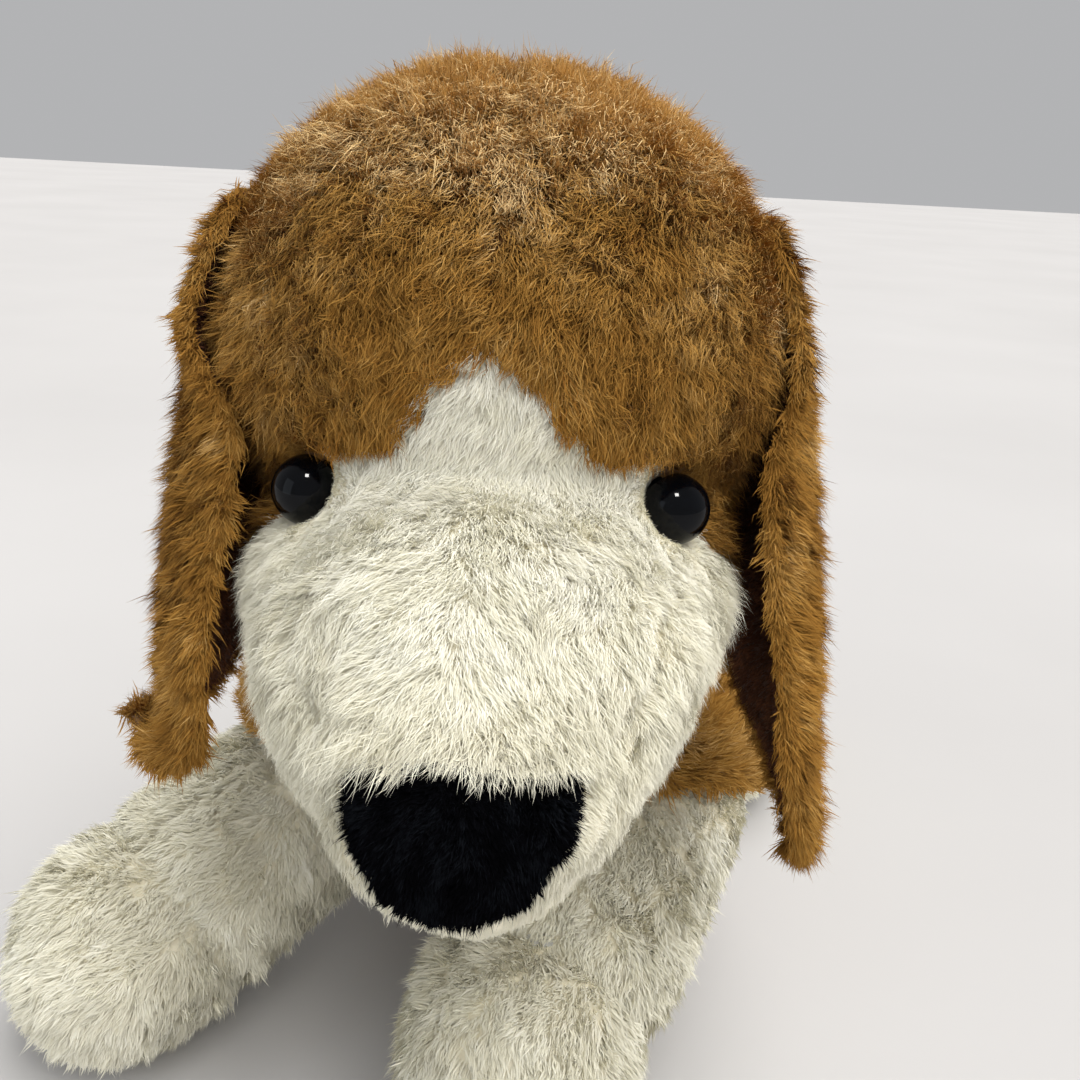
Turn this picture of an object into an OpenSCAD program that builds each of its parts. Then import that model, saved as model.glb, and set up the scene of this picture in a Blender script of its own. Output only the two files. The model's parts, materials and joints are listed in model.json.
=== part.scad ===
// Plush dog: brown head and body, cream blaze, muzzle and legs, long hanging ears.
// Millimetres. The dog faces -Y, its own left side is +X, and it rests on Z = 0.
// The origin is the middle of the flat of the belly that it lies on.

/* [Fabric] */
// Thickness of the plush backing that each panel is cut from
skin_t = 2; // [1.5:0.1:2.5]
// Gap left between parts that move against each other
joint_gap = 0.8; // [0.5:0.1:1]

/* [Head] */
// Width of the skull across the ears
skull_w = 99; // [95:1:102]
// Depth of the skull, front to back
skull_d = 94; // [90:1:98]
// Height of the skull
skull_h = 89; // [86:1:92]
// Height of the middle of the skull above the floor
head_z = 171; // [169:1:180]
// Radius of the stuffed ball in the neck
neck_r = 31; // [28:0.5:32]

/* [Face] */
// Diameter of each safety eye
eye_d = 12; // [10:0.5:14]
// Distance between the middles of the eyes
eye_spacing = 61; // [58:1:64]
// Width of the nose patch at its top edge
nose_w = 30; // [26:1:32]
// Height of the nose patch
nose_h = 21; // [18:1:22]

/* [Ears] */
// Length of the left ear below the middle of the skull
ear_left_drop = 97; // [90:1:104]
// Length of the right ear below the middle of the skull, to where its tip curls up
ear_right_drop = 74; // [68:1:80]
// Radius that the tip of the right ear curls to
ear_curl_r = 7; // [6:0.5:9]
// Width of an ear at its widest
ear_w = 42; // [36:1:43]
// Thickness of the outer plush layer of an ear
ear_outer_t = 2.4; // [2:0.1:3]
// Thickness of the short-pile lining of an ear
ear_lining_t = 2; // [1.5:0.1:2.2]

/* [Body] */
// Radius of the rump
rump_r = 50; // [48:1:52]
// Radius of the chest
chest_r = 44; // [42:1:45]
// Distance from the rump's middle to the chest's middle
body_l = 83; // [80:1:86]
// Turn of the body against the head
body_yaw = 10.6; // [8:0.2:12]
// Length of the tail from its seam
tail_l = 46; // [36:1:54]

/* [Front legs] */
// Distance from a shoulder to the middle of the paw
front_leg_l = 66; // [62:1:68]
// Radius of a front leg at the shoulder
shoulder_r = 23; // [21:0.5:24]
// Radius of a front paw
front_paw_r = 25; // [23:0.5:26]
// Angle of the left front leg across the front
front_left_angle = 31; // [26:1:36]
// Angle of the right front leg out to its side
front_right_angle = 47; // [42:1:52]

/* [Hind legs] */
// Distance from a hip to the middle of the paw
hind_leg_l = 47; // [44:1:50]
// Radius of a hind leg at the hip
hip_r = 26; // [24:0.5:27]
// Radius of a hind paw
hind_paw_r = 22; // [20:0.5:24]

/* [Hidden] */

BROWN = [0.55, 0.40, 0.20];
LINING = [0.45, 0.27, 0.13];
CREAM = [0.88, 0.86, 0.76];
BLACK = [0.03, 0.03, 0.035];
FILLING = [0.95, 0.95, 0.93];

layer_gap = 0.2;          // between a skin and the filling it holds
facets = 24;              // of each soft rounded form
far = 200;                // reach of cutting blocks

// The head's own frame has its origin in the middle of the skull.
head_pos = [-16, -119, head_z];
skull_r = [skull_w, skull_d, skull_h] / 2;
cheek_pos = [0, -28, -42];
cheek_r = [40, 30, 27];
bridge_pos = [0, -52, -44];
bridge_r = [33, 28, 26];
muzzle_pos = [0, -77, -52];
muzzle_r = [20, 17, 17];
throat_pos = [0, 8, -30];
throat_r = [34, 34, 24];
neck_pos = [0, 24, -44];

// The eye sits on the skull's skin, square to it.
eye_r = eye_d / 2;
eye_pos = [eye_spacing / 2, -35, -21.5];
eye_dir = unit([eye_pos.x / pow(skull_r.x, 2), eye_pos.y / pow(skull_r.y, 2),
                eye_pos.z / pow(skull_r.z, 2)]);
eye_back = 3.4;           // from the eye's middle to its flat back
post_r = 1.8;
post_l = 12;
post_hole_r = post_r + 0.4;
washer_r = 6.5;
washer_t = 1.3;
washer_depth = 6.3;       // from the eye's middle to the washer's outer face
eye_fit = 0.2;            // between an eye and the dished cloth under it

// The body's own frame is turned about the origin; y is minus the distance forwards.
rump_pos = [0, 11, 46];
chest_pos = [0, 11 - body_l, 70];
lobe_pos = [38, -84, 66];
lobe_r = 27;
side_seam_z = 44;
shoulder_pos = [40, -86, 56];
shoulder_right_drop = 6;
hip_pos = [52, 8, 25.5];
hind_angle = 15;          // of each hind leg outwards from straight back
tail_pos = [0, 53, 64];
tail_root_r = 9;
tail_tip_r = 7;
tail_rise = 20;
pellet_pos = [0, 8, 17];
pellet_r = [19, 26, 12];

// Travel of the legs about upright axes: inwards and outwards.
front_left_travel = [-5, 35];
front_right_travel = [-24, 25];
hind_travel = [-4, 40];
tail_travel = [-30, 30];

paw_z = front_paw_r - 1.5;
hind_paw_z = hind_paw_r - 0.5;

shoulder_left = to_world(shoulder_pos);
shoulder_right = to_world([-shoulder_pos.x, shoulder_pos.y, shoulder_pos.z - shoulder_right_drop]);
hip_left = to_world(hip_pos);
hip_right = to_world([-hip_pos.x, hip_pos.y, hip_pos.z]);

function unit(v) = v / norm(v);
function mirror_x(v) = [-v.x, v.y, v.z];
function to_world(p) = [p.x * cos(body_yaw) - p.y * sin(-body_yaw),
                        p.x * sin(-body_yaw) + p.y * cos(body_yaw), p.z];
// The middle of a paw, whose leg is turned by angle from straight forwards towards +X.
function paw(from, l, z, angle) =
    let (reach = sqrt(l * l - pow(from.z - z, 2)))
    [from.x + reach * sin(angle), from.y - reach * cos(angle), z];
function front_left_paw(turn) = paw(shoulder_left, front_leg_l, paw_z, turn - front_left_angle);
function front_right_paw(turn) = paw(shoulder_right, front_leg_l, paw_z, -turn - front_right_angle);
function hind_left_paw(turn) =
    paw(hip_left, hind_leg_l, hind_paw_z, 180 - turn - hind_angle - body_yaw);
function hind_right_paw(turn) =
    paw(hip_right, hind_leg_l, hind_paw_z, 180 + turn + hind_angle - body_yaw);
// The middle of the tail's tip in the body's frame, turned to one side.
function tail_tip(turn) =
    tail_pos + tail_l * [cos(tail_rise) * sin(turn), cos(tail_rise) * cos(turn), sin(tail_rise)];
// Five turns spread evenly over a travel.
function spread(travel) = [for (k = [0:0.25:1]) travel[0] + k * (travel[1] - travel[0])];
// Half outline of a capsule with round ends of radii r0 and r1, a distance l apart.
function capsule_outline(r0, r1, l, steps = 7) =
    let (lean = asin((r0 - r1) / l))
    concat([[0, -r0]],
           [for (k = [1:steps]) let (a = -90 + (90 + lean) * k / steps) [r0 * cos(a), r0 * sin(a)]],
           [for (k = [0:steps - 1]) let (a = lean + (90 - lean) * k / steps)
               [r1 * cos(a), l + r1 * sin(a)]],
           [[0, l + r1]]);

module ball(pos, r) {
    translate(pos) scale(r) sphere(r = 1, $fn = facets);
}

module blob(pos, r) {
    hull() ball(pos, r);
}

module in_head() {
    translate(head_pos) children();
}

module in_body() {
    rotate([0, 0, -body_yaw]) children();
}

// Turns +Z to point along dir.
module along(pos, dir) {
    translate(pos)
        rotate([0, acos(dir.z / norm(dir)), atan2(dir.y, dir.x)])
            children();
}

module capsule(from, to, r0, r1) {
    along(from, to - from)
        rotate_extrude($fn = 48) polygon(capsule_outline(r0, r1, norm(to - from)));
}

// Everything above a height, which keeps the resting faces flat.
module above(z) {
    translate([-far, -far, z]) cube([2 * far, 2 * far, 2 * far]);
}

// ---- head ----

module head_form(inset) {
    in = [inset, inset, inset];
    difference() {
        union() {
            blob([0, 0, 0], skull_r - in);
            hull() {
                ball(cheek_pos, cheek_r - in);
                ball(throat_pos, throat_r - in);
            }
            hull() {
                ball(cheek_pos, cheek_r - in);
                ball(bridge_pos, bridge_r - in);
            }
            hull() {
                ball(bridge_pos, bridge_r - in);
                ball(muzzle_pos, muzzle_r - in);
            }
        }
        blob(neck_pos, (neck_r + joint_gap + inset) * [1, 1, 1]);
        for (side = [1, -1])
            eye_frame(side) translate([0, 0, -eye_back - eye_fit - inset])
                cylinder(r = eye_r + eye_fit + inset, h = 30, $fn = 32);
    }
}

// Room behind the cloth for an eye's washer and post.
module washer_room(gap) {
    translate([0, 0, -washer_depth - washer_t - gap])
        cylinder(r = washer_r + gap, h = washer_t + 2 * gap, $fn = 32);
    translate([0, 0, -eye_back - post_l - gap])
        cylinder(r = post_hole_r, h = 20, $fn = 16);
}

module head_shell() {
    difference() {
        head_form(0);
        head_form(skin_t);
        for (side = [1, -1])
            eye_frame(side) washer_room(layer_gap);
    }
}

module eye_frame(side) {
    along([side * eye_pos.x, eye_pos.y, eye_pos.z], [side * eye_dir.x, eye_dir.y, eye_dir.z])
        children();
}

// Front view outline of the gusset: a pointed blaze over the brow, then the top of the muzzle.
module gusset_region() {
    right = [[7, 0.7], [10, -5.5], [15, -10], [26, -14], [28, -28], [24, -35.4],
             [20.7, -38], [15.7, -44], [13, -60]];
    left = [for (k = [len(right) - 1:-1:0]) [-right[k].x, right[k].y]];
    translate([0, -20, 0])
        rotate([90, 0, 0])
            linear_extrude(90) polygon(concat([[0, 4.5]], right, left));
}

// Side view outline of all the cream cloth, in front of the brown crown panels.
module cream_region() {
    outline = [[-60, -15.5], [-38, -15.5], [-30, -30], [-18, -44], [-8, -58], [4, -90], [-110, -90],
               [-110, -15.5]];
    rotate([90, 0, 90])
        linear_extrude(2 * far, center = true) polygon(outline);
}

module chin_region() {
    translate([-far, -far, -far - 58]) cube([2 * far, 2 * far, far]);
}

module side_region(side) {
    translate([side > 0 ? 0 : -far, -far, -far]) cube([far, 2 * far, 2 * far]);
}

module crown(side) {
    color(BROWN) in_head() difference() {
        intersection() {
            head_shell();
            side_region(side);
        }
        cream_region();
        gusset_region();
    }
}

module cheek(side) {
    color(CREAM) in_head() difference() {
        intersection() {
            head_shell();
            side_region(side);
            cream_region();
        }
        gusset_region();
        chin_region();
    }
}

module crown_left() crown(1);
module crown_right() crown(-1);
module cheek_left() cheek(1);
module cheek_right() cheek(-1);

module blaze_gusset() {
    color(CREAM) in_head() intersection() {
        head_shell();
        gusset_region();
    }
}

module chin_panel() {
    color(CREAM) in_head() difference() {
        intersection() {
            head_shell();
            cream_region();
            chin_region();
        }
        gusset_region();
    }
}

// A black patch sewn on the end of the muzzle: straight across the top, round below.
module nose_patch() {
    top = -39;
    half = nose_w / 2;
    patch_t = 1.8;
    color(BLACK) in_head() intersection() {
        difference() {
            blob(muzzle_pos, muzzle_r + patch_t * [1, 1, 1]);
            blob(muzzle_pos, muzzle_r + layer_gap * [1, 1, 1]);
        }
        translate([0, -82, 0]) rotate([90, 0, 0]) linear_extrude(20) polygon([
            [-half, top - 3], [0, top], [half, top - 3], [half * 0.9, top - nose_h * 0.45],
            [half * 0.6, top - nose_h * 0.8], [half * 0.2, top - nose_h],
            [-half * 0.2, top - nose_h], [-half * 0.6, top - nose_h * 0.8],
            [-half * 0.9, top - nose_h * 0.45]
        ]);
    }
}

module head_stuffing() {
    color(FILLING) in_head() difference() {
        head_form(skin_t + layer_gap);
        for (side = [1, -1])
            eye_frame(side) washer_room(2 * layer_gap);
    }
}

// A domed safety eye on its ribbed post.
module eye(side) {
    color(BLACK) in_head() eye_frame(side) rotate_extrude($fn = 48) union() {
        intersection() {
            circle(r = eye_r, $fn = 48);
            translate([0, -eye_back]) square([eye_r + 1, eye_back + eye_r + 1]);
        }
        translate([0, -eye_back - post_l]) square([post_r, post_l + 1]);
        for (k = [1:4])
            translate([0, -eye_back - 3 - 2 * k]) square([post_r + 0.2, 0.6]);
    }
}

// The toothed washer that locks the post behind the cloth.
module eye_washer(side) {
    color(FILLING) in_head() eye_frame(side)
        translate([0, 0, -washer_depth - washer_t]) difference() {
            cylinder(r = washer_r, h = washer_t, $fn = 48);
            translate([0, 0, -1]) cylinder(r = post_hole_r, h = washer_t + 2, $fn = 48);
        }
}

module eye_left() eye(1);
module eye_right() eye(-1);
module eye_washer_left() eye_washer(1);
module eye_washer_right() eye_washer(-1);

// ---- ears ----

EAR_SEAM = [[44.5, 23], [48.8, 11], [50.8, 0], [54, -25], [56.5, -60]];
ear_left_line = concat(EAR_SEAM, [[62, -ear_left_drop]]);
ear_right_line = concat(EAR_SEAM, [for (a = [180:30:360])
    [57 + ear_curl_r + ear_curl_r * cos(a), ear_curl_r * sin(a) - ear_right_drop]]);

// A line moved sideways by t, to the left of the way it runs.
function beside(line, t) = [for (k = [0:len(line) - 1])
    let (d = unit(line[min(k + 1, len(line) - 1)] - line[max(k - 1, 0)])) line[k] + t * [-d.y, d.x]];
function reversed(list) = [for (k = [len(list) - 1:-1:0]) list[k]];

// Front view section of one ear layer, from start to start + t outside the line next to the skull.
module ear_section(line, start, t) {
    rotate([90, 0, 0]) linear_extrude(120, center = true)
        polygon(concat(beside(line, start), reversed(beside(line, start + t))));
}

// Side view outline: narrow at the seam, widest low down, with a blunt tip.
module ear_outline(drop) {
    rotate([90, 0, 90]) linear_extrude(far) hull() {
        translate([-3, 10]) circle(r = 15, $fn = 32);
        translate([-21, ear_w / 2 + 8 - drop]) circle(r = ear_w / 2, $fn = 32);
        translate([-23, 12 - drop]) circle(r = 12, $fn = 32);
    }
}

module ear_layer(side, start, t) {
    in_head() mirror([side > 0 ? 0 : 1, 0, 0]) intersection() {
        ear_section(side > 0 ? ear_left_line : ear_right_line, start, t);
        ear_outline(side > 0 ? ear_left_drop : ear_right_drop + ear_curl_r);
    }
}

module ear_left_outer() {
    color(BROWN) ear_layer(1, ear_lining_t + 0.1, ear_outer_t);
}

module ear_left_lining() {
    color(LINING) ear_layer(1, 0, ear_lining_t);
}

module ear_right_outer() {
    color(BROWN) ear_layer(-1, ear_lining_t + 0.1, ear_outer_t);
}

module ear_right_lining() {
    color(LINING) ear_layer(-1, 0, ear_lining_t);
}

// ---- neck ----

module neck_skin() {
    color(BROWN) in_head() translate(neck_pos) difference() {
        sphere(r = neck_r, $fn = 64);
        sphere(r = neck_r - skin_t, $fn = 64);
    }
}

module neck_stuffing() {
    color(FILLING) in_head() translate(neck_pos) sphere(r = neck_r - skin_t - layer_gap, $fn = 64);
}

// ---- body ----

// The space that a leg or the tail sweeps through, plus the gap round it.
module limb_sweep(from, paws, r0, r1) {
    hull() {
        ball(from, r0 * [1, 1, 1]);
        for (p = paws)
            ball(p, r1 * [1, 1, 1]);
    }
}

module body_form(inset) {
    grow = joint_gap + inset;
    in = inset * [1, 1, 1];
    difference() {
        intersection() {
            in_body() union() {
                hull() {
                    ball(rump_pos, rump_r * [1, 1, 1] - in);
                    ball(chest_pos, chest_r * [1, 1, 1] - in);
                }
                blob(lobe_pos, lobe_r * [1, 1, 1] - in);
                blob(mirror_x(lobe_pos), lobe_r * [1, 1, 1] - in);
            }
            above(inset);
        }
        limb_sweep(shoulder_left, [for (t = spread(front_left_travel)) front_left_paw(t)],
                   shoulder_r + grow, front_paw_r + grow);
        limb_sweep(shoulder_right, [for (t = spread(front_right_travel)) front_right_paw(t)],
                   shoulder_r + grow, front_paw_r + grow);
        limb_sweep(hip_left, [for (t = spread(hind_travel)) hind_left_paw(t)],
                   hip_r + grow, hind_paw_r + grow);
        limb_sweep(hip_right, [for (t = spread(hind_travel)) hind_right_paw(t)],
                   hip_r + grow, hind_paw_r + grow);
        in_head() blob(neck_pos, (neck_r + grow) * [1, 1, 1]);
        in_body() limb_sweep(tail_pos, [for (t = spread(tail_travel)) tail_tip(t)],
                             tail_root_r + grow, tail_tip_r + grow);
    }
}

module body_shell() {
    difference() {
        body_form(0);
        body_form(skin_t);
    }
}

module back_panel() {
    color(BROWN) intersection() {
        body_shell();
        above(side_seam_z);
    }
}

module belly_panel() {
    color(BROWN) difference() {
        body_shell();
        above(side_seam_z);
    }
}

module body_stuffing() {
    color(FILLING) difference() {
        body_form(skin_t + layer_gap);
        in_body() hull()
            for (down = [0, 30])
                ball(pellet_pos - [0, 0, down], pellet_r + 3 * layer_gap * [1, 1, 1]);
    }
}

module pellet_bag() {
    color("linen") in_body() ball(pellet_pos, pellet_r);
}

// Ladder stitches that close the seam under the tail after stuffing.
module closing_stitches() {
    count = 6;
    pitch = 5;
    color("saddlebrown") in_body()
        for (k = [0:count - 1]) {
            a = (k - (count - 1) / 2) * pitch;
            y = rump_pos.y + sqrt(pow(rump_r, 2) - a * a - pow(side_seam_z - rump_pos.z, 2));
            translate([a, y, side_seam_z]) rotate([20, 0, 0])
                cylinder(r = 0.6, h = 5, center = true, $fn = 16);
        }
}

// A blank label caught in the side seam beside the tail.
module care_label() {
    label_size = [0.8, 17, 13];
    caught = 1.2;
    color("white") in_body() translate([rump_pos.x, rump_pos.y, side_seam_z - label_size.z / 2])
        rotate([0, 0, -24])
            translate([0, rump_r - caught, 0]) cube(label_size);
}

// ---- legs and tail ----

module leg_skin(from, to, r0, r1) {
    color(CREAM) difference() {
        intersection() {
            capsule(from, to, r0, r1);
            above(0);
        }
        intersection() {
            capsule(from, to, r0 - skin_t, r1 - skin_t);
            above(skin_t);
        }
    }
}

module leg_stuffing(from, to, r0, r1) {
    in = skin_t + layer_gap;
    color(FILLING) intersection() {
        capsule(from, to, r0 - in, r1 - in);
        above(in);
    }
}

module front_leg_left_skin() leg_skin(shoulder_left, front_left_paw(0), shoulder_r, front_paw_r);
module front_leg_left_stuffing() leg_stuffing(shoulder_left, front_left_paw(0), shoulder_r, front_paw_r);
module front_leg_right_skin() leg_skin(shoulder_right, front_right_paw(0), shoulder_r, front_paw_r);
module front_leg_right_stuffing() leg_stuffing(shoulder_right, front_right_paw(0), shoulder_r, front_paw_r);
module hind_leg_left_skin() leg_skin(hip_left, hind_left_paw(0), hip_r, hind_paw_r);
module hind_leg_left_stuffing() leg_stuffing(hip_left, hind_left_paw(0), hip_r, hind_paw_r);
module hind_leg_right_skin() leg_skin(hip_right, hind_right_paw(0), hip_r, hind_paw_r);
module hind_leg_right_stuffing() leg_stuffing(hip_right, hind_right_paw(0), hip_r, hind_paw_r);

module tail_skin() {
    color(BROWN) in_body() difference() {
        capsule(tail_pos, tail_tip(0), tail_root_r, tail_tip_r);
        capsule(tail_pos, tail_tip(0), tail_root_r - skin_t, tail_tip_r - skin_t);
    }
}

module tail_stuffing() {
    in = skin_t + layer_gap;
    color(FILLING) in_body() capsule(tail_pos, tail_tip(0), tail_root_r - in, tail_tip_r - in);
}

crown_left();
crown_right();
blaze_gusset();
cheek_left();
cheek_right();
chin_panel();
nose_patch();
head_stuffing();
eye_left();
eye_right();
eye_washer_left();
eye_washer_right();
ear_left_outer();
ear_left_lining();
ear_right_outer();
ear_right_lining();
neck_skin();
neck_stuffing();
back_panel();
belly_panel();
body_stuffing();
pellet_bag();
closing_stitches();
care_label();
front_leg_left_skin();
front_leg_left_stuffing();
front_leg_right_skin();
front_leg_right_stuffing();
hind_leg_left_skin();
hind_leg_left_stuffing();
hind_leg_right_skin();
hind_leg_right_stuffing();
tail_skin();
tail_stuffing();
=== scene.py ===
import json
import math

import bmesh
import bpy
import numpy as np
from mathutils import Matrix, Vector, kdtree


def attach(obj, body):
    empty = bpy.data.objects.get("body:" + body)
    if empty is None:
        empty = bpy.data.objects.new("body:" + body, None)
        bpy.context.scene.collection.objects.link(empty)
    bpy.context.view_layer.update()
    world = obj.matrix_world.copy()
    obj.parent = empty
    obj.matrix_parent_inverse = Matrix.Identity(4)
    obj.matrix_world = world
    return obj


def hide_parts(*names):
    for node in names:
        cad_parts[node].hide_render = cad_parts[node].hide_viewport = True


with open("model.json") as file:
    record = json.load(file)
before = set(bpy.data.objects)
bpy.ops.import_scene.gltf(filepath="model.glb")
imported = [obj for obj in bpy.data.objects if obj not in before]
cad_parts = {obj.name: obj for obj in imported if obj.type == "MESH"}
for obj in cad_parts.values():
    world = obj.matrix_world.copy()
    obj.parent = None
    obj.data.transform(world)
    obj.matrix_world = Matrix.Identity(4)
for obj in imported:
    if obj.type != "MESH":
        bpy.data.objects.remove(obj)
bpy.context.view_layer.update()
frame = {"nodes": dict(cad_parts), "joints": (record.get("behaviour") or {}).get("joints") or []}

MM = 0.001
RNG = np.random.default_rng(11)
FUR = 1.0      # share of the pile that is drawn
MOST_BLADES = 62000                    # in one mesh

JOINT = {j["name"]: np.array(j["pos_m"]) * 1000 for j in frame["joints"]}


# ------------ small helpers

def unit(v):
    return v / np.maximum(np.linalg.norm(v, axis=-1, keepdims=True), 1e-9)


def smin(a, b, k):
    h = np.clip(0.5 + 0.5 * (b - a) / k, 0, 1)
    return b * (1 - h) + a * h - k * h * (1 - h)


def smooth(lo, hi, x):
    t = np.clip((x - lo) / (hi - lo), 0, 1)
    return t * t * (3 - 2 * t)


def bell(x, width):
    """1 where x is zero, falling off over a width."""
    return np.exp(-(x / width) ** 2)


def turned(v, angle):
    """Points, or one direction, turned about Z by an angle in radians."""
    v = np.asarray(v, float)
    x, y, z = v[..., 0], v[..., 1], v[..., 2]
    c, s = math.cos(angle), math.sin(angle)
    return np.stack([x * c - y * s, x * s + y * c, z], -1)


def search_tree(points):
    """A tree that finds the nearest of some points, numbered in their order."""
    tree = kdtree.KDTree(len(points))
    for k, q in enumerate(points):
        tree.insert(q, k)
    tree.balance()
    return tree


def add_object(name, data):
    ob = bpy.data.objects.new(name, data)
    bpy.context.scene.collection.objects.link(ob)
    return ob


class Waves:
    """A smooth random field: a sum of plane waves of about one wavelength."""

    def __init__(self, seed, wavelength, count=9):
        r = np.random.default_rng(seed)
        self.k = unit(r.normal(size=(count, 3))) * 2 * np.pi / (wavelength * r.uniform(0.7, 1.5, (count, 1)))
        self.phase = r.uniform(0, 2 * np.pi, count)
        self.gain = 1.2 / math.sqrt(count)

    def __call__(self, p):
        return np.sin(p @ self.k.T + self.phase).sum(1) * self.gain


def across(n, flow):
    """The part of flow that lies along the surface."""
    return flow - n * (flow * n).sum(1, keepdims=True)


def combed(n, direction):
    """One direction, laid along the surface at each point."""
    return across(n, np.tile(direction, (len(n), 1)))


def line_distance(q, points):
    """Distance from 2D points to an open line."""
    best = np.full(len(q), 1e9)
    for p0, p1 in zip(np.array(points[:-1], float), np.array(points[1:], float)):
        e, w = p1 - p0, q - p0
        t = np.clip((w @ e) / (e @ e), 0, 1)
        best = np.minimum(best, np.linalg.norm(w - t[:, None] * e, axis=1))
    return best


def polygon_distance(q, outline):
    """Signed distance from 2D points to a closed outline, negative inside."""
    a = np.array(outline, float)
    inside = np.zeros(len(q), bool)
    for p0, p1 in zip(a, np.roll(a, -1, 0)):
        crosses = (p0[1] > q[:, 1]) != (p1[1] > q[:, 1])
        e = p1 - p0
        if abs(e[1]) > 1e-9:
            inside ^= crosses & (q[:, 0] < p0[0] + (q[:, 1] - p0[1]) * e[0] / e[1])
    best = line_distance(q, outline + outline[:1])
    return np.where(inside, -best, best)


# ------------ forms of the stuffed bodies

def ellipsoid(p, c, r):
    """A distance from an ellipsoid, close to the true one near its surface."""
    q = (p - np.array(c)) / r
    k0, k1 = np.linalg.norm(q, axis=1), np.linalg.norm(q / r, axis=1)
    return k0 * (k0 - 1) / np.maximum(k1, 1e-9)


def chain(p, c0, r0, c1, r1, steps=7):
    """Ellipsoids in a row, from one centre and radii to another."""
    c0, r0, c1, r1 = (np.array(v, float) for v in (c0, r0, c1, r1))
    return np.min([ellipsoid(p, c0 + (c1 - c0) * t, r0 + (r1 - r0) * t) for t in np.linspace(0, 1, steps)], 0)


def ball(p, c, r):
    return np.linalg.norm(p - c, axis=1) - r


def round_cone(p, a, b, ra, rb):
    """A capsule whose two ends differ in radius."""
    axis = b - a
    t = np.clip(((p - a) @ axis) / (axis @ axis), 0, 1)
    return np.linalg.norm(p - a - t[:, None] * axis, axis=1) - (ra + (rb - ra) * t)


NECK = JOINT["head_nod"]
NECK_R, GAP, SKIN_T = 31.0, 0.8, 1.8
YAW = math.radians(-10.6)      # of the body against the head

# The head, whose forms are each a centre in its own frame and three radii.
HEAD = NECK - np.array([0, 24, -44])
SKULL = (0, 0, 0), (49.5, 47, 44.5)
NAPE = (0, 8, -30), (34, 34, 24)
CHEEKS = (0, -28, -42), (40, 30, 27)
BRIDGE = (0, -52, -44), (33, 28, 26)
MUZZLE = (0, -77, -52), (20, 17, 17)
EYES = np.array([(30.5, -35, -21.5), (-30.5, -35, -21.5)])
EYE_R = 6.0

# The torso, in its own frame, and the tail.
RUMP, RUMP_R = (0, 11, 46), 50
CHEST, CHEST_R = (0, -72, 70), 44
SHOULDER, SHOULDER_R = (38, -84, 66), 27
TAIL_LENGTH, TAIL_R = 46, (9, 7)


def head_form(p):
    h = p - HEAD
    throat = chain(h, *CHEEKS, *NAPE)
    face = smin(chain(h, *CHEEKS, *BRIDGE), chain(h, *BRIDGE, *MUZZLE), 5)
    f = smin(smin(ellipsoid(h, *SKULL), throat, 9), face, 7)
    return np.maximum(f, -ball(p, NECK, NECK_R + GAP))


def paw_at(root, length, z, angle):
    """The middle of a paw, whose leg is turned by angle from straight forwards towards +X."""
    reach = math.sqrt(length ** 2 - (root[2] - z) ** 2)
    a = math.radians(angle)
    return np.array([root[0] + reach * math.sin(a), root[1] - reach * math.cos(a), z])


def limb(name, length, paw_z, angle, r, turn):
    root = JOINT[name + "_swing"]
    return dict(root=root, paw=paw_at(root, length, paw_z, angle), r=r, turn=turn)


# name, length, height of the paw's middle, angle, radii at root and paw, limits of the swing
LEGS = {row[0]: limb(*row) for row in (
    ("front_leg_left", 66, 23.5, -31, (23, 25), (-5, 35)),
    ("front_leg_right", 66, 23.5, -47, (23, 25), (24, -25)),
    ("hind_leg_left", 47, 21.5, 154.4, (26, 22), (4, -40)),
    ("hind_leg_right", 47, 21.5, 184.4, (26, 22), (-4, 40)))}


def leg_form(name, p, turn=0.0, grow=0.0):
    leg = LEGS[name]
    a = leg["root"]
    b = a + turned(leg["paw"] - a, math.radians(turn))
    return round_cone(p, a, b, leg["r"][0] + grow, leg["r"][1] + grow)


def paw_crease(name, p, width):
    """1 in the crease behind a leg's paw, fading over a width to its sides."""
    leg = LEGS[name]
    along = (p - leg["paw"]) @ unit(leg["paw"] - leg["root"])
    behind = 13 if name.startswith("front") else 10
    return bell(along + behind, width)


def leg_skin_form(name, p):
    """The leg with a soft crease behind its paw."""
    return np.maximum(leg_form(name, p) + 1.7 * paw_crease(name, p, 4.0), -p[:, 2])


def leg_sweep(name, p, grow=GAP):
    lo, hi = LEGS[name]["turn"]
    return np.min([leg_form(name, p, t, grow) for t in np.linspace(lo, hi, 6)], 0)


def torso_hull(p):
    b = turned(p, -YAW)
    f = chain(b, RUMP, (RUMP_R,) * 3, CHEST, (CHEST_R,) * 3, 11)
    x, y, z = SHOULDER
    lobes = np.minimum(ball(b, (x, y, z), SHOULDER_R), ball(b, (-x, y, z), SHOULDER_R))
    return smin(f, lobes, 6)


def tail_dir(turn):
    """Along the tail, wagged by turn degrees."""
    a, rise = math.radians(turn), math.radians(20)
    return turned((math.cos(rise) * math.sin(a), math.cos(rise) * math.cos(a), math.sin(rise)), YAW)


def tail_form(p, turn=0.0, grow=0.0):
    a = JOINT["tail_wag"]
    return round_cone(p, a, a + TAIL_LENGTH * tail_dir(turn), TAIL_R[0] + grow, TAIL_R[1] + grow)


def tail_sweep(p):
    return np.min([tail_form(p, t, GAP) for t in (-30, -15, 0, 15, 30)], 0)


def torso_form(p):
    f = np.maximum(torso_hull(p), -p[:, 2])
    for name in LEGS:
        f = np.maximum(f, -leg_sweep(name, p))
    return np.maximum(np.maximum(f, -ball(p, NECK, NECK_R + GAP)), -tail_sweep(p))


# ------------ meshes

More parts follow.
